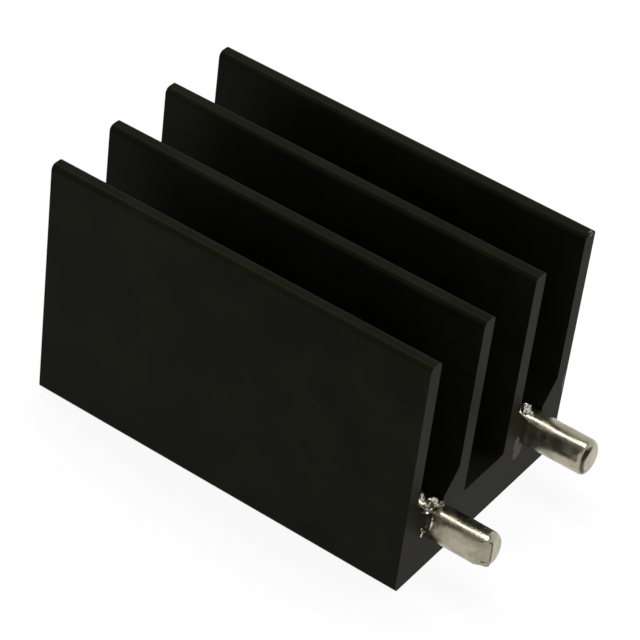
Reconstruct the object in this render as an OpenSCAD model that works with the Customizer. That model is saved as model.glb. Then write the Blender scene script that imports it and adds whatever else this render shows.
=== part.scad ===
// Board-level plate-fin heat sink: an extruded base with straight plate fins, and two solder
// pins pressed into open channels along the floors of the two outer grooves.
// X runs along the extrusion with the pins at +X, Y runs across the fins and Z up through them.
// The origin is the middle of the device face, which is the flat underside of the base.

/* [Extrusion] */
// Length of the extrusion, without the pins
body_l = 25.4; // [20:0.1:60]
// Height from the device face to the fin tips
body_h = 16.16; // [10:0.01:30]
// Thickness of the base under the middle groove
base_t = 3.43; // [2.8:0.01:4.2]
// Radius along the two lower edges of the base
base_edge_r = 0.3; // [0.1:0.05:0.8]

/* [Fins] */
// Number of fins, even so that one groove lies in the middle
fin_n = 4; // [4:2:10]
// Spacing of the fins, centre to centre
fin_pitch = 5.08; // [4.7:0.01:8]
// Thickness of each fin
fin_t = 1.02; // [0.9:0.01:1.3]
// Radius along the two edges of each fin tip
fin_tip_r = 0.35; // [0.1:0.05:0.4]
// Radius of the fillets along the floor corners of the inner grooves
fin_root_r = 0.2; // [0.1:0.05:0.5]

/* [Pin channels] */
// Height of each channel's axis above the device face
channel_z = 3.45; // [2.6:0.01:5]
// Width of the slot that opens each channel along its top
slot_w = 1.6; // [1:0.05:1.8]
// Height of the slot's straight lips above the channel's axis
lip_h = 1.1; // [0.95:0.05:1.5]
// Rise of the sloped flanks from the lips to the fins
flank_h = 1.4; // [0.6:0.05:2]

/* [Solder pins] */
// Diameter of each pin
pin_d = 2.16; // [1.9:0.01:2.5]
// Length of pin that stands out of the end face
pin_reach = 3.96; // [2.5:0.01:6]
// Length of pin that is pressed into its channel
pin_seat = 8.5; // [4:0.1:18]
// Radius round the edge of each pin's ends
pin_edge_r = 0.3; // [0.1:0.05:0.6]
// Radial gap between a pin and its channel, none for the press fit
pin_gap = 0; // [0:0.01:0.1]

/* [Device hole] */
// Diameter of the screw hole through the base, an M3 thread's minor diameter
hole_d = 2.5; // [2:0.1:3]
// Distance from the board end of the extrusion to the screw hole
hole_up = 17.3; // [10:0.1:18]

/* [Hidden] */
body_w = (fin_n - 1) * fin_pitch + fin_t;
groove_w = fin_pitch - fin_t;
outer_groove_y = (fin_n / 2 - 1) * fin_pitch;
board_end_x = body_l / 2;
lip_z = channel_z + lip_h;
flank_z = lip_z + flank_h;
cut = 1; // how far a cutting tool runs past the metal
round_fn = 64; // faces of a full circle on the round edges and bores

// The flat base, centred on the profile's y axis, with its two lower corners rounded.
module base_profile() {
    translate([-body_w / 2, base_edge_r]) square([body_w, base_t - base_edge_r]);
    translate([base_edge_r - body_w / 2, 0]) square([body_w - 2 * base_edge_r, base_t]);
    for (side = [-1, 1])
        translate([side * (body_w / 2 - base_edge_r), base_edge_r])
            circle(r = base_edge_r, $fn = round_fn);
}

// One plate fin that stands on the base's underside line, with both tip corners rounded.
module fin_profile() {
    translate([-fin_t / 2, base_t / 2]) square([fin_t, body_h - fin_tip_r - base_t / 2]);
    translate([fin_tip_r - fin_t / 2, base_t / 2])
        square([fin_t - 2 * fin_tip_r, body_h - base_t / 2]);
    for (side = [-1, 1])
        translate([side * (fin_t / 2 - fin_tip_r), body_h - fin_tip_r])
            circle(r = fin_tip_r, $fn = round_fn);
}

// The two fillets in the floor corners of one groove.
module root_fillets() {
    for (side = [0, 1])
        mirror([side, 0])
            difference() {
                translate([-groove_w / 2 - fin_t / 4, base_t - fin_root_r])
                    square([fin_root_r + fin_t / 4, 2 * fin_root_r]);
                translate([fin_root_r - groove_w / 2, base_t + fin_root_r])
                    circle(r = fin_root_r, $fn = round_fn);
            }
}

// The thickened floor of an outer groove, whose flanks slope down from the fins to the slot.
module channel_floor_profile() {
    half = groove_w / 2 + fin_t / 4;
    flank_slope = flank_h / (groove_w / 2 - slot_w / 2);
    top_z = flank_z + flank_slope * fin_t / 4;
    polygon([
        [-half, base_t / 2], [half, base_t / 2], [half, top_z],
        [slot_w / 2, lip_z], [-slot_w / 2, lip_z], [-half, top_z]
    ]);
}

// The round channel that grips a pin, and the slot that opens it to the groove above.
module channel_cut_profile() {
    translate([0, channel_z]) circle(d = pin_d + 2 * pin_gap, $fn = round_fn);
    translate([-slot_w / 2, channel_z]) square([slot_w, lip_h + cut]);
}

// The whole section of the extrusion: across the fins in x, up the fins in y.
module extrusion_profile() {
    difference() {
        union() {
            base_profile();
            for (i = [0 : fin_n - 1])
                translate([(i - (fin_n - 1) / 2) * fin_pitch, 0]) fin_profile();
            for (i = [1 : fin_n - 3])
                translate([(i + 1 - fin_n / 2) * fin_pitch, 0]) root_fillets();
            for (side = [-1, 1])
                translate([side * outer_groove_y, 0]) channel_floor_profile();
        }
        for (side = [-1, 1])
            translate([side * outer_groove_y, 0]) channel_cut_profile();
    }
}

// A rod that stands on z = 0 along +Z, with round edges at both ends.
module round_ended_rod(d, l, edge_r) {
    rotate_extrude($fn = round_fn) {
        square([d / 2 - edge_r, l]);
        translate([0, edge_r]) square([d / 2, l - 2 * edge_r]);
        for (z = [edge_r, l - edge_r])
            translate([d / 2 - edge_r, z]) circle(r = edge_r, $fn = 32);
    }
}

// One solder pin, on the side of the centre line that is given as -1 or 1.
module solder_pin(side) {
    translate([board_end_x - pin_seat, side * outer_groove_y, channel_z])
        rotate([0, 90, 0])
            round_ended_rod(pin_d, pin_seat + pin_reach, pin_edge_r);
}

module heat_sink() {
    color("#24251f")
        difference() {
            translate([-body_l / 2, 0, 0])
                rotate([90, 0, 90])
                    linear_extrude(height = body_l) extrusion_profile();
            translate([board_end_x - hole_up, 0, -cut])
                cylinder(d = hole_d, h = base_t + 2 * cut, $fn = round_fn);
        }
}

module solder_pin_left() {
    color("#b9b6a6") solder_pin(-1);
}

module solder_pin_right() {
    color("#b9b6a6") solder_pin(1);
}

heat_sink();
solder_pin_left();
solder_pin_right();
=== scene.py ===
# Board-level plate fin heat sink: a black anodised extrusion with two tinned solder pins.
# Everything is in metres, in the frame model's own frame: +X to the pin end, +Y across, +Z up.
# The pins and the torn metal are written in millimetres and turned into metres at the mesh.

import math

import bmesh
import bpy
from mathutils import Matrix, Vector, noise


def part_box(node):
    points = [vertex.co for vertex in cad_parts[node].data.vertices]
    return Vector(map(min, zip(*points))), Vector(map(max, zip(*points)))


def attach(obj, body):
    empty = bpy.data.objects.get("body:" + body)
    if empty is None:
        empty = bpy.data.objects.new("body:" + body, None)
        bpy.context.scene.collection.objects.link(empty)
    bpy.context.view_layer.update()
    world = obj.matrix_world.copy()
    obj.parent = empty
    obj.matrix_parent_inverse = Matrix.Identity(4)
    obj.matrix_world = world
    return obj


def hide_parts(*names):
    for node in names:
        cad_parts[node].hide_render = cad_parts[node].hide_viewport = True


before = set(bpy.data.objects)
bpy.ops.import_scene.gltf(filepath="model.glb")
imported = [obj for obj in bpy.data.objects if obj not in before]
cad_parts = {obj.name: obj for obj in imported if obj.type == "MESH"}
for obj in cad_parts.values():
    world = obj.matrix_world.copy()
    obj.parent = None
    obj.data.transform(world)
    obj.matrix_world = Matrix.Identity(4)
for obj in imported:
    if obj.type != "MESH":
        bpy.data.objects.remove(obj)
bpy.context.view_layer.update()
mm = 0.001
print("frame loaded:", sorted(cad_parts))


cameraPlace = {
    "azimuth": 30.98,  # degrees round from -Y towards +X
    "elevation": 39.12,  # degrees above the floor
    "roll": 7.64,  # degrees that the camera's right side is tipped up
    "distance": 0.1663,
    "aim": (0.00072, 0.00008, 0.00771),
    "sensor": 36.0,  # mm
    "lens": 164.87,  # mm
    "clip": (0.005, 20.0),
}


def makeCamera():
    azimuth = math.radians(cameraPlace["azimuth"])
    elevation = math.radians(cameraPlace["elevation"])
    away = Vector((
        math.sin(azimuth) * math.cos(elevation),
        -math.cos(azimuth) * math.cos(elevation),
        math.sin(elevation),
    ))
    camera = bpy.data.objects.new("camera", bpy.data.cameras.new("camera"))
    bpy.context.collection.objects.link(camera)
    camera.data.lens = cameraPlace["lens"]
    camera.data.sensor_width = cameraPlace["sensor"]
    camera.data.clip_start, camera.data.clip_end = cameraPlace["clip"]
    camera.data.dof.use_dof = False
    turn = away.to_track_quat("Z", "Y").to_matrix().to_4x4()
    roll = Matrix.Rotation(math.radians(cameraPlace["roll"]), 4, "Z")
    spot = Vector(cameraPlace["aim"]) + away * cameraPlace["distance"]
    camera.matrix_world = Matrix.Translation(spot) @ turn @ roll
    bpy.context.scene.camera = camera


def addNode(tree, kind, **settings):
    node = tree.nodes.new(kind)
    for name, value in settings.items():
        setattr(node, name, value)
    return node


def setInput(tree, socket, value):
    # A value is a number, a vector, a colour or another node's socket.
    if isinstance(value, bpy.types.NodeSocket):
        tree.links.new(value, socket)
    else:
        socket.default_value = value


def feed(tree, node, **values):
    # Sockets are named with their spaces taken out.
    sockets = {socket.name.replace(" ", ""): socket for socket in reversed(node.inputs)}
    for name, value in values.items():
        setInput(tree, sockets[name], value)
    return node


def mathNode(tree, operation, *values):
    node = addNode(tree, "ShaderNodeMath", operation=operation)
    for socket, value in zip(node.inputs, values):
        setInput(tree, socket, value)
    return node.outputs[0]


def vectorNode(tree, operation, *values):
    node = addNode(tree, "ShaderNodeVectorMath", operation=operation)
    for socket, value in zip(node.inputs, values):
        setInput(tree, socket, value)
    return node.outputs["Value" if operation == "LENGTH" else "Vector"]


def mixColour(tree, factor, first, second):
    node = addNode(tree, "ShaderNodeMix", data_type="RGBA")
    for index, value in ((0, factor), (6, first), (7, second)):  # the colour mix's own sockets
        setInput(tree, node.inputs[index], value)
    return node.outputs[2]


def rampValue(tree, value, low, high, outLow=0.0, outHigh=1.0):
    node = addNode(tree, "ShaderNodeMapRange", interpolation_type="SMOOTHSTEP")
    for socket, setting in zip(node.inputs, (value, low, high, outLow, outHigh)):
        setInput(tree, socket, setting)
    return node.outputs[0]


def newGroup(name, inputs, outputs):
    # inputs maps a socket's name to its kind and default, and outputs to its kind.
    group = bpy.data.node_groups.new(name, "ShaderNodeTree")
    for socketName, (kind, default) in inputs.items():
        socket = group.interface.new_socket(socketName, in_out="INPUT", socket_type=kind)
        if default is not None:
            socket.default_value = default
    for socketName, kind in outputs.items():
        group.interface.new_socket(socketName, in_out="OUTPUT", socket_type=kind)
    return group, addNode(group, "NodeGroupInput"), addNode(group, "NodeGroupOutput")


def useGroup(tree, group, **values):
    node = feed(tree, addNode(tree, "ShaderNodeGroup", node_tree=group), **values)
    return node.outputs[0]


studio = {
    "floorSize": 3.0,
    "floorDrop": 0.00002,  # keeps the floor just clear of the device face
    "floorColour": (0.9, 0.9, 0.9, 1.0),
    "floorWhite": 0.92,  # share of plain white that the camera sees; the rest shows the shadow
    "horizonLevel": 0.86,
    "ceilingLevel": 0.19,
    "skyFade": (0.55, 0.85),  # from the horizon's level to the ceiling's, where 1 is overhead
    "boxPlace": (-0.22, 0.11, 0.5),
    "boxLength": 0.9,
    "boxWidth": 0.17,
    "boxPower": 3.6,
}


def makeFloor():
    half = studio["floorSize"] / 2
    corners = [(-half, -half, 0), (half, -half, 0), (half, half, 0), (-half, half, 0)]
    mesh = bpy.data.meshes.new("floor")
    mesh.from_pydata(corners, [], [(0, 1, 2, 3)])
    floor = bpy.data.objects.new("floor", mesh)
    floor.location.z = -studio["floorDrop"]
    bpy.context.collection.objects.link(floor)
    material = bpy.data.materials.new("paleFloor")
    material.use_nodes = True
    tree = material.node_tree
    tree.nodes.clear()
    # Plain white to the camera, in reflections and through glass; a pale matt floor to the lamps.
    rays = addNode(tree, "ShaderNodeLightPath")
    seen = mathNode(tree, "MAXIMUM", rays.outputs["Is Camera Ray"], rays.outputs["Is Glossy Ray"])
    seen = mathNode(tree, "MAXIMUM", seen, rays.outputs["Is Transmission Ray"])
    share = mathNode(tree, "MULTIPLY", seen, studio["floorWhite"])
    plain = feed(tree, addNode(tree, "ShaderNodeBsdfDiffuse"), Color=studio["floorColour"])
    white = feed(tree, addNode(tree, "ShaderNodeEmission"), Color=(1, 1, 1, 1), Strength=1.0)
    mix = addNode(tree, "ShaderNodeMixShader")
    for socket, value in zip(mix.inputs, (share, plain.outputs[0], white.outputs[0])):
        setInput(tree, socket, value)
    feed(tree, addNode(tree, "ShaderNodeOutputMaterial"), Surface=mix.outputs[0])
    mesh.materials.append(material)


def makeWorld():
    world = bpy.data.worlds.new("studioWorld")
    bpy.context.scene.world = world
    world.use_nodes = True
    tree = world.node_tree
    tree.nodes.clear()
    place = addNode(tree, "ShaderNodeTexCoord")
    axes = feed(tree, addNode(tree, "ShaderNodeSeparateXYZ"), Vector=place.outputs["Generated"])
    level = rampValue(tree, axes.outputs["Z"], *studio["skyFade"],
                      studio["horizonLevel"], studio["ceilingLevel"])
    sky = feed(tree, addNode(tree, "ShaderNodeBackground"), Color=(1, 1, 1, 1), Strength=level)
    feed(tree, addNode(tree, "ShaderNodeOutputWorld"), Surface=sky.outputs[0])


def makeLamp():
    lamp = bpy.data.lights.new("overheadBox", "AREA")
    lamp.shape = "RECTANGLE"
    lamp.size = studio["boxLength"]
    lamp.size_y = studio["boxWidth"]
    lamp.energy = studio["boxPower"]
    box = bpy.data.objects.new("overheadBox", lamp)
    box.location = studio["boxPlace"]
    bpy.context.collection.objects.link(box)


def makeStreakGroup():
    # Fine lines along X, as an extrusion die or a brush leaves them.
    group, source, sink = newGroup(
        "fineStreaks",
        {"Place": ("NodeSocketVector", None), "Line Width": ("NodeSocketFloat", 0.00008),
         "Line Length": ("NodeSocketFloat", 0.01)},
        {"Height": "NodeSocketFloat"})
    across = mathNode(group, "DIVIDE", 1.0, source.outputs["Line Width"])
    along = mathNode(group, "DIVIDE", 1.0, source.outputs["Line Length"])
    scale = feed(group, addNode(group, "ShaderNodeCombineXYZ"), X=along, Y=across, Z=across)
    stretched = vectorNode(group, "MULTIPLY", source.outputs["Place"], scale.outputs[0])
    grain = feed(group, addNode(group, "ShaderNodeTexNoise"),
                 Vector=stretched, Scale=1.0, Detail=3.0, Roughness=0.6)
    group.links.new(grain.outputs[0], sink.inputs["Height"])
    return group


def makePatchGroup():
    # Soft patches from 0 to 1, for stains and uneven colour.
    group, source, sink = newGroup(
        "softPatches",
        {"Place": ("NodeSocketVector", None), "Patch Size": ("NodeSocketFloat", 0.002),
         "From": ("NodeSocketFloat", 0.4), "To": ("NodeSocketFloat", 0.65)},
        {"Mask": "NodeSocketFloat"})
    scale = mathNode(group, "DIVIDE", 1.0, source.outputs["Patch Size"])
    patches = feed(group, addNode(group, "ShaderNodeTexNoise"),
                   Vector=source.outputs["Place"], Scale=scale, Detail=4.0, Roughness=0.55)
    mask = rampValue(group, patches.outputs[0], source.outputs["From"], source.outputs["To"])
    group.links.new(mask, sink.inputs["Mask"])
    return group


def makeSpotGroup():
    # One spot with its own size, place and torn outline: 1 inside, 0 outside.
    group, source, sink = newGroup(
        "tornSpot",
        {"Place": ("NodeSocketVector", None), "Centre": ("NodeSocketVector", None),
         "Half Size": ("NodeSocketVector", None), "Tear": ("NodeSocketFloat", 0.4),
         "Grain": ("NodeSocketFloat", 0.0004)},
        {"Mask": "NodeSocketFloat"})
    away = vectorNode(group, "SUBTRACT", source.outputs["Place"], source.outputs["Centre"])
    share = vectorNode(group, "DIVIDE", away, source.outputs["Half Size"])
    reach = vectorNode(group, "LENGTH", share)
    scale = mathNode(group, "DIVIDE", 1.0, source.outputs["Grain"])
    ragged = feed(group, addNode(group, "ShaderNodeTexNoise"),
                  Vector=source.outputs["Place"], Scale=scale, Detail=3.0, Roughness=0.6)
    # The noise strays about a quarter either way from a half, so four times that is one.
    stray = mathNode(group, "SUBTRACT", ragged.outputs[0], 0.5)
    shift = mathNode(group, "MULTIPLY", stray,
                     mathNode(group, "MULTIPLY", source.outputs["Tear"], 4.0))
    mask = rampValue(group, mathNode(group, "ADD", reach, shift), 0.85, 1.1, 1.0, 0.0)
    group.links.new(mask, sink.inputs["Mask"])
    return group


def newMaterial(name):
    material = bpy.data.materials.new(name)
    material.use_nodes = True
    tree = material.node_tree
    return material, tree, tree.nodes["Principled BSDF"], addNode(tree, "ShaderNodeTexCoord")


def addBump(tree, distance, height, under=None, strength=1.0):
    node = feed(tree, addNode(tree, "ShaderNodeBump"),
                Strength=strength, Distance=distance, Height=height)
    if under:
        feed(tree, node, Normal=under)
    return node.outputs[0]


anodised = {
    "deepColour": (0.0045, 0.0047, 0.0026, 1.0),
    "paleColour": (0.0066, 0.0067, 0.0040, 1.0),
    "endColour": (0.0125, 0.0121, 0.0054, 1.0),
    "endShare": 0.6,  # of endColour on the cut ends
    "stainColour": (0.020, 0.009, 0.005, 1.0),
    "blotchShare": 0.25,  # of stainColour in the blotches on the cut ends
    "stainShare": 0.22,  # of stainColour in the stains
    "rubbedColour": (0.105, 0.088, 0.080, 1.0),
    "fleckColour": (0.11, 0.10, 0.085, 1.0),
    "roughness": 0.35,
    "lineRoughness": 0.10,  # added on the die lines
    "endRoughness": 0.06,  # added on the cut ends
    "rubbedRoughness": 0.2,  # added on the rubbed marks
    "ior": 1.10,
    "specularTint": (1.0, 1.0, 0.62, 1.0),
    "grainScale": 14000.0,
    "grainHeight": 0.4,  # as a share of a die line's
    "lineDepth": 0.0000015,  # die lines along the extrusion
    "sawDepth": 0.000004,  # saw lines across the cut ends
    "sawSlant": 18,  # degrees
    "stains": [  # centre and half size of each, in mm
        ((12.7, 3.45, 4.7), (0.5, 0.6, 1.2)),
        ((12.7, -6.3, 3.1), (0.5, 0.8, 1.2)),
    ],
    "rubs": [
        ((12.7, 3.45, 3.25), (0.3, 0.27, 0.62)),
        ((12.7, 3.70, 2.55), (0.3, 0.46, 0.58)),
    ],
    "flecks": [
        ((-8.75, -7.92, 16.0), (0.11, 0.07, 0.09)),
        ((12.6, 7.7, 16.0), (0.12, 0.2, 0.2)),
        ((12.7, 7.95, 5.1), (0.1, 0.07, 0.7)),
    ],
}


def spotMasks(tree, spots, place, spotList, tear, grain):
    total = None
    for centre, halfSize in spotList:
        mask = useGroup(tree, spots, Place=place, Centre=[c * mm for c in centre],
                        HalfSize=[h * mm for h in halfSize], Tear=tear, Grain=grain)
        total = mathNode(tree, "MAXIMUM", total, mask) if total else mask
    return total


def makeAnodised(streaks, patches, spots):
    material, tree, shader, coords = newMaterial("blackAnodised")
    place = coords.outputs["Object"]
    # The cut ends face along X; the rest was drawn through the die.
    facing = feed(tree, addNode(tree, "ShaderNodeSeparateXYZ"), Vector=coords.outputs["Normal"])
    cutEnd = rampValue(tree, mathNode(tree, "ABSOLUTE", facing.outputs["X"]), 0.8, 0.95)
    mottle = useGroup(tree, patches, Place=place, PatchSize=0.004)
    blotch = useGroup(tree, patches, Place=place, PatchSize=0.0012, From=0.55, To=0.75)
    lines = useGroup(tree, streaks, Place=place, LineWidth=0.00007, LineLength=0.012)
    # Saw lines run up the ends at a slant.
    slant = (math.radians(anodised["sawSlant"]), 0, math.radians(90))
    turned = feed(tree, addNode(tree, "ShaderNodeMapping"), Vector=place, Rotation=slant)
    saw = useGroup(tree, streaks, Place=turned.outputs[0], LineWidth=0.00009, LineLength=0.006)
    grain = feed(tree, addNode(tree, "ShaderNodeTexNoise"),
                 Vector=place, Scale=anodised["grainScale"], Detail=2.0)
    stain = spotMasks(tree, spots, place, anodised["stains"], 0.35, 0.0006)
    rubbed = spotMasks(tree, spots, place, anodised["rubs"], 0.25, 0.00025)
    flecked = spotMasks(tree, spots, place, anodised["flecks"], 0.4, 0.00015)

    colour = mixColour(tree, mottle, anodised["deepColour"], anodised["paleColour"])
    ends = mathNode(tree, "MULTIPLY", cutEnd, anodised["endShare"])
    colour = mixColour(tree, ends, colour, anodised["endColour"])
    warm = mathNode(tree, "MULTIPLY", cutEnd, anodised["blotchShare"])
    warm = mathNode(tree, "MULTIPLY", blotch, warm)
    colour = mixColour(tree, warm, colour, anodised["stainColour"])
    faint = mathNode(tree, "MULTIPLY", stain, anodised["stainShare"])
    colour = mixColour(tree, faint, colour, anodised["stainColour"])
    colour = mixColour(tree, rubbed, colour, anodised["rubbedColour"])
    colour = mixColour(tree, flecked, colour, anodised["fleckColour"])

    rough = mathNode(tree, "MULTIPLY_ADD", lines, anodised["lineRoughness"], anodised["roughness"])
    rough = mathNode(tree, "MULTIPLY_ADD", cutEnd, anodised["endRoughness"], rough)
    rough = mathNode(tree, "MULTIPLY_ADD", rubbed, anodised["rubbedRoughness"], rough)

    height = mathNode(tree, "MULTIPLY", lines, mathNode(tree, "SUBTRACT", 1.0, cutEnd))
    height = mathNode(tree, "MULTIPLY_ADD", grain.outputs[0], anodised["grainHeight"], height)
    lineBump = addBump(tree, anodised["lineDepth"], height)
    sawHeight = mathNode(tree, "MULTIPLY", saw, cutEnd)
    sawBump = addBump(tree, anodised["sawDepth"], sawHeight, under=lineBump)
    feed(tree, shader, BaseColor=colour, Roughness=rough, IOR=anodised["ior"],
         SpecularTint=anodised["specularTint"], Normal=sawBump)
    return material


tin = {
    "cleanColour": (0.41, 0.385, 0.29, 1.0),
    "dullColour": (0.27, 0.235, 0.175, 1.0),
    "dullShare": 0.55,
    "stainColour": (0.17, 0.11, 0.08, 1.0),
    "stainShare": 0.6,
    # dark brown for painted shade in the lip's step and along the creases, and for the scuffed
    # facets' wear
    "grimeColour": (0.03, 0.024, 0.015, 1.0),
    "roughness": 0.2,
    "dullRoughness": 0.12,  # added on the dull patches
    "grimeRoughness": 0.3,  # added in the creases
    "brushDepth": 0.000003,
    "dentScale": 1300.0,
    "dentDepth": 0.00003,
}


def makeTin(streaks, patches):
    material, tree, shader, coords = newMaterial("tinPlate")
    place = coords.outputs["Object"]
    dull = useGroup(tree, patches, Place=place, PatchSize=0.0009, From=0.4, To=0.7)
    stain = useGroup(tree, patches, Place=place, PatchSize=0.0005, From=0.58, To=0.78)
    lines = useGroup(tree, streaks, Place=place, LineWidth=0.00006, LineLength=0.0015)
    dents = feed(tree, addNode(tree, "ShaderNodeTexNoise"),
                 Vector=place, Scale=tin["dentScale"], Detail=2.0)
    # makePin writes a mask on each vertex, from 0 to 1: painted shade in the lip's step and along
    # the shear creases, and wear where the shear scuffed the facets.
    grime = addNode(tree, "ShaderNodeAttribute", attribute_name="grime").outputs["Fac"]

    faded = mathNode(tree, "MULTIPLY", dull, tin["dullShare"])
    colour = mixColour(tree, faded, tin["cleanColour"], tin["dullColour"])
    brown = mathNode(tree, "MULTIPLY", stain, tin["stainShare"])
    colour = mixColour(tree, brown, colour, tin["stainColour"])
    # Painted shade in the lip's step and along the creases, and brown wear on the scuffed facets
    colour = mixColour(tree, grime, colour, tin["grimeColour"])

    rough = mathNode(tree, "MULTIPLY_ADD", dull, tin["dullRoughness"], tin["roughness"])
    rough = mathNode(tree, "MULTIPLY_ADD", grime, tin["grimeRoughness"], rough)
    dentBump = addBump(tree, tin["dentDepth"], dents.outputs[0], strength=0.6)
    brushBump = addBump(tree, tin["brushDepth"], lines, under=dentBump)
    feed(tree, shader, BaseColor=colour, Metallic=1.0, Roughness=rough, Normal=brushBump)
    return material


torn = {
    "brightColour": (0.60, 0.585, 0.50, 1.0),
    "darkColour": (0.06, 0.055, 0.04, 1.0),
    "roughness": 0.22,
    "darkRoughness": 0.25,  # added in the dark folds
    "creaseScale": 3000.0,
    "creaseDepth": 0.00006,
}


def makeTornMetal(patches):
    material, tree, shader, coords = newMaterial("tornAluminium")
    place = coords.outputs["Object"]
    dark = useGroup(tree, patches, Place=place, PatchSize=0.00042, From=0.45, To=0.57)
    creases = feed(tree, addNode(tree, "ShaderNodeTexNoise"),
                   Vector=place, Scale=torn["creaseScale"], Detail=3.0)
    colour = mixColour(tree, dark, torn["brightColour"], torn["darkColour"])
    rough = mathNode(tree, "MULTIPLY_ADD", dark, torn["darkRoughness"], torn["roughness"])
    bump = addBump(tree, torn["creaseDepth"], creases.outputs[0], strength=0.8)
    feed(tree, shader, BaseColor=colour, Metallic=1.0, Roughness=rough, Normal=bump)
    return material


def dress(nodeName, material):
    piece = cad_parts[nodeName]
    piece.data.materials.clear()
    piece.data.materials.append(material)
    for polygon in piece.data.polygons:
        polygon.material_index = 0


def joinRings(mesh, rings):
    # Walls from ring to ring, and a cap on either end.
    around = len(rings[0])
    for first, second in zip(rings, rings[1:]):
        for index in range(around):
            after = (index + 1) % around
            mesh.faces.new((first[index], first[after], second[after], second[index]))
    mesh.faces.new(rings[0])
    mesh.faces.new(reversed(rings[-1]))
    bmesh.ops.recalc_face_normals(mesh, faces=mesh.faces)


def finishPiece(mesh, name, material, nodes=()):
    data = bpy.data.meshes.new(name)
    mesh.to_mesh(data)
    mesh.free()
    data.materials.append(material)
    data.polygons.foreach_set("use_smooth", [True] * len(data.polygons))
    piece = bpy.data.objects.new(name, data)
    bpy.context.collection.objects.link(piece)
    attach(piece, "root")
    if nodes:
        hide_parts(*nodes)


# Lengths in mm from here on. A turn of 0 degrees is a pin's top, and turns go towards -Y.
pins = {
    "around": 120,
    "footSteps": 5,  # rows round the hidden foot's edge
    "straightSteps": 28,
    "edgeSteps": 14,
    "endSteps": 14,  # rows from the end's edge to its middle
    "footEdge": 0.3,
    "footInner": 0.35,  # share of the radius that the foot's flat cap covers
    "endEdge": (0.24, 0.46),  # radius of the end's edge, underneath and on top
    "dent": 0.014,
    "dentScale": (1.1, 1.3),  # along and across
    "dentFrom": 0.1,  # out of the end face
    "leanFrom": 0.4,  # out of the end face, where the lean and the facets set in
    "leanOver": 0.8,
    "endLean": 0.025,  # how far the sheared end leans back towards its top, for each mm
    "lipDepth": 0.05,
    "lipBand": 0.4,  # how far back from the end
    "lipFade": (30, 16),  # degrees over which the lip runs out at its start and its end
    "creaseWidth": 0.06,
    "creaseHeights": (-0.62, 0.9),
    # painted shade, as a share of the dark brown, in the lip's step and along the creases
    "lipGrime": 0.9,
    "creaseGrime": 0.85,
    "left": {
        "node": "solder_pin_left", "seed": 3, "scuff": 0.22,
        "lipTurns": (150, 205), "lipRadii": (0.80, 1.04),
        # planes that the shear left: the way each faces, and how far out from the end's middle
        "facets": [((0.76, -0.64, 0.02), 0.11), ((0.60, -0.72, -0.36), 0.42),
                   ((0.50, -0.86, 0.14), 0.52)],
    },
    "right": {
        "node": "solder_pin_right", "seed": 8, "scuff": 0.0,
        "lipTurns": (12, 150), "lipRadii": (0.68, 1.02),
        "facets": [((0.78, -0.30, 0.55), 0.42)],
    },
}


def pinProfile(length, radius, endEdge):
    # Places along a pin and the radius there, from the hidden foot to near the end's middle.
    footEdge = pins["footEdge"]
    rows = [(0.0, pins["footInner"] * radius), (0.0, radius - footEdge)]
    for step in range(1, pins["footSteps"] + 1):
        turn = math.pi / 2 * step / pins["footSteps"]
        rows.append((footEdge * (1 - math.cos(turn)), radius - footEdge * (1 - math.sin(turn))))
    straight = length - endEdge - footEdge
    for step in range(1, pins["straightSteps"]):
        rows.append((footEdge + straight * step / pins["straightSteps"], radius))
    for step in range(pins["edgeSteps"] + 1):
        turn = math.pi / 2 * step / pins["edgeSteps"]
        rows.append((length - endEdge * (1 - math.sin(turn)),
                     radius - endEdge * (1 - math.cos(turn))))
    for step in range(1, pins["endSteps"]):
        rows.append((length, (radius - endEdge) * (1 - step / pins["endSteps"])))
    return rows


def lipShare(side, turn, out):
    # How deep the step between the rim and the end is here, from 0 to 1.
    start, stop = side["lipTurns"]
    inner, outer = side["lipRadii"]
    fadeIn, fadeOut = pins["lipFade"]
    degrees = math.degrees(turn)
    span = max(0.0, min(1.0, (degrees - start) / fadeIn, (stop - degrees) / fadeOut))
    if not inner < out < outer:
        return 0.0
    return span * math.sin(math.pi * (out - inner) / (outer - inner)) ** 0.6


def shapePoint(side, along, out, turn, size):
    # Where one point of a pin goes, from the middle of its foot, and how much painted shade (in
    # the lip's step and the creases) and scuff wear it takes.
    y, z = -math.sin(turn) * out, math.cos(turn) * out
    point = Vector((along, y, z))
    past = along - size["faceX"]
    tip = max(0.0, min(1.0, (past - pins["leanFrom"]) / pins["leanOver"]))
    if past > pins["dentFrom"]:
        scaleAlong, scaleAcross = pins["dentScale"]
        wobble = pins["dent"] * noise.noise(Vector((
            along * scaleAlong, y * scaleAcross + side["seed"], z * scaleAcross)))
        point.y += wobble * y
        point.z += wobble * z
    point.x -= tip * pins["endLean"] * (z + size["radius"] / 2)
    dip = lipShare(side, turn, out) if along > size["length"] - pins["lipBand"] else 0.0
    point.x -= pins["lipDepth"] * dip
    low, high = pins["creaseHeights"]
    creased = tip > 0.9 and out < size["radius"] - 0.1 and low < z < high
    crease = scuff = 0.0
    for way, reach in side["facets"]:
        way = Vector(way).normalized()
        over = (point - Vector((size["length"], 0, 0))).dot(way) - reach
        if tip > 0 and over > 0:
            point -= way * over
            scuff = side["scuff"]
        if creased:
            crease = max(crease, math.exp(-(over / pins["creaseWidth"]) ** 2))
    # Painted shade in the lip's step and along the creases, and wear where the shear scuffed the
    # facets
    grime = dip * pins["lipGrime"] + max(crease * pins["creaseGrime"], scuff)
    return point, min(1.0, grime)


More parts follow.
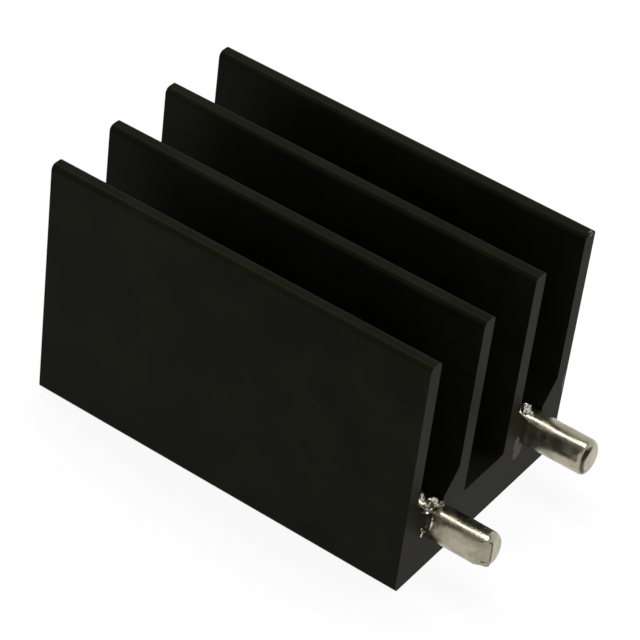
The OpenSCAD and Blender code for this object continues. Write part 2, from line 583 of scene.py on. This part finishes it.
def makePin(side, material):
    low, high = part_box(side["node"])
    foot = Vector((low.x, (low.y + high.y) / 2, (low.z + high.z) / 2))
    size = {
        "radius": (high.z - low.z) / 2 / mm,
        "length": (high.x - low.x) / mm,
        "faceX": (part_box("heat_sink")[1].x - foot.x) / mm,  # the end face, from the pin's foot
    }
    under, top = pins["endEdge"]
    turns = [2 * math.pi * index / pins["around"] for index in range(pins["around"])]
    columns = [pinProfile(size["length"], size["radius"],
                          under + (top - under) * (1 + math.cos(turn)) / 2) for turn in turns]
    mesh = bmesh.new()
    # one mask for painted shade in the lip's step and the creases, and for the scuffed facets'
    # wear
    creaseShadeAndScuffLayer = mesh.verts.layers.float.new("grime")
    rings = []
    for row in zip(*columns):
        ring = []
        for turn, (along, out) in zip(turns, row):
            point, grime = shapePoint(side, along, out, turn, size)
            vert = mesh.verts.new(foot + point * mm)
            vert[creaseShadeAndScuffLayer] = grime
            ring.append(vert)
        rings.append(ring)
    joinRings(mesh, rings)
    name = side["node"].replace("solder_pin", "tinnedPin")
    finishPiece(mesh, name, material, [side["node"]])


# Metal that staking tore up round the pins' roots.
tornLumps = {
    # name: centre, half size, degrees about X, ruggedness, seed
    "stakedSpike": ((12.74, -6.88, 6.35), (0.10, 0.13, 0.62), 22, 0.35, 11),
    "stakedMass": ((12.78, -5.72, 5.10), (0.22, 0.80, 0.36), -32, 0.42, 23),
    "stakedRidge": ((12.92, -5.15, 4.78), (0.22, 0.55, 0.20), -38, 0.5, 31),
    "stakedSliver": ((13.12, -6.05, 4.05), (0.10, 0.07, 0.52), -8, 0.3, 47),
    "stakedCrumb": ((12.74, -6.25, 3.15), (0.07, 0.06, 0.22), -30, 0.5, 53),
    "stakedFleck": ((12.74, -6.38, 3.62), (0.06, 0.07, 0.08), 0, 0.5, 59),
    "burrBall": ((12.84, 3.52, 5.95), (0.26, 0.34, 0.40), 30, 0.35, 61),
    "burrTail": ((12.86, 4.28, 5.14), (0.14, 0.34, 0.13), -50, 0.5, 71),
}


def makeLump(name, material):
    centre, halfSize, lean, rugged, seed = tornLumps[name]
    mesh = bmesh.new()
    bmesh.ops.create_icosphere(mesh, subdivisions=4, radius=1.0)
    turn = Matrix.Rotation(math.radians(lean), 3, "X")
    for vert in mesh.verts:
        way = vert.co.normalized()
        fold = noise.noise(way * 1.7 + Vector((seed, 0, 0)))
        crumple = abs(noise.noise(way * 3.9 + Vector((0, seed, 0))))
        reach = 1.0 + rugged * fold - rugged * 0.9 * crumple
        place = Vector([way[axis] * reach * halfSize[axis] for axis in range(3)])
        vert.co = (Vector(centre) + turn @ place) * mm
    finishPiece(mesh, name, material)


tornCurl = {
    "centre": (12.86, -6.60, 5.40),
    "radii": (0.30, 0.24),  # across and up
    "startTurn": 2.2,  # radians
    "turns": 0.86,
    "narrowing": 0.25,  # share of its radii that the curl loses on the way round
    "sway": 0.10,  # in and out of the end face
    "thickness": 0.12,
    "flatness": (1.5, 0.55),  # shares of the thickness along X and across the curl
    "lumpiness": 0.4,
    "seed": 83,
    "around": 40,
    "across": 14,
}


def makeCurl(material):
    # A shaving curled back on itself, thickest in its middle.
    mesh = bmesh.new()
    wide, tall = tornCurl["radii"]
    alongX, acrossCurl = tornCurl["flatness"]
    rings = []
    for step in range(tornCurl["around"]):
        share = step / (tornCurl["around"] - 1)
        turn = 2 * math.pi * tornCurl["turns"] * share + tornCurl["startTurn"]
        size = 1 - tornCurl["narrowing"] * share
        out = Vector((0, math.cos(turn), math.sin(turn)))
        middle = Vector(tornCurl["centre"]) + Vector((
            tornCurl["sway"] * math.sin(3 * turn), wide * size * out.y, tall * size * out.z))
        swell = 0.45 + 0.55 * math.sin(math.pi * min(1, share * 1.1 + 0.05))
        ring = []
        for index in range(tornCurl["across"]):
            angle = 2 * math.pi * index / tornCurl["across"]
            ripple = noise.noise(Vector((turn * 1.5, math.cos(angle), tornCurl["seed"])))
            thick = tornCurl["thickness"] * (1 + tornCurl["lumpiness"] * ripple) * swell
            offset = out * (math.cos(angle) * thick * acrossCurl)
            offset.x = math.sin(angle) * thick * alongX
            ring.append(mesh.verts.new((middle + offset) * mm))
        rings.append(ring)
    joinRings(mesh, rings)
    finishPiece(mesh, "stakedCurl", material)


makeCamera()
makeFloor()
makeWorld()
makeLamp()
print("camera and studio made")

streakGroup = makeStreakGroup()
patchGroup = makePatchGroup()
spotGroup = makeSpotGroup()
blackAnodised = makeAnodised(streakGroup, patchGroup, spotGroup)
tinPlate = makeTin(streakGroup, patchGroup)
tornAluminium = makeTornMetal(patchGroup)
print("finishes made")

dress("heat_sink", blackAnodised)
dress("solder_pin_left", tinPlate)
dress("solder_pin_right", tinPlate)
makePin(pins["left"], tinPlate)
makePin(pins["right"], tinPlate)
print("pins made")

for lumpName in tornLumps:
    makeLump(lumpName, tornAluminium)
makeCurl(tornAluminium)
print("torn metal made")

bpy.context.scene.view_settings.view_transform = "Standard"
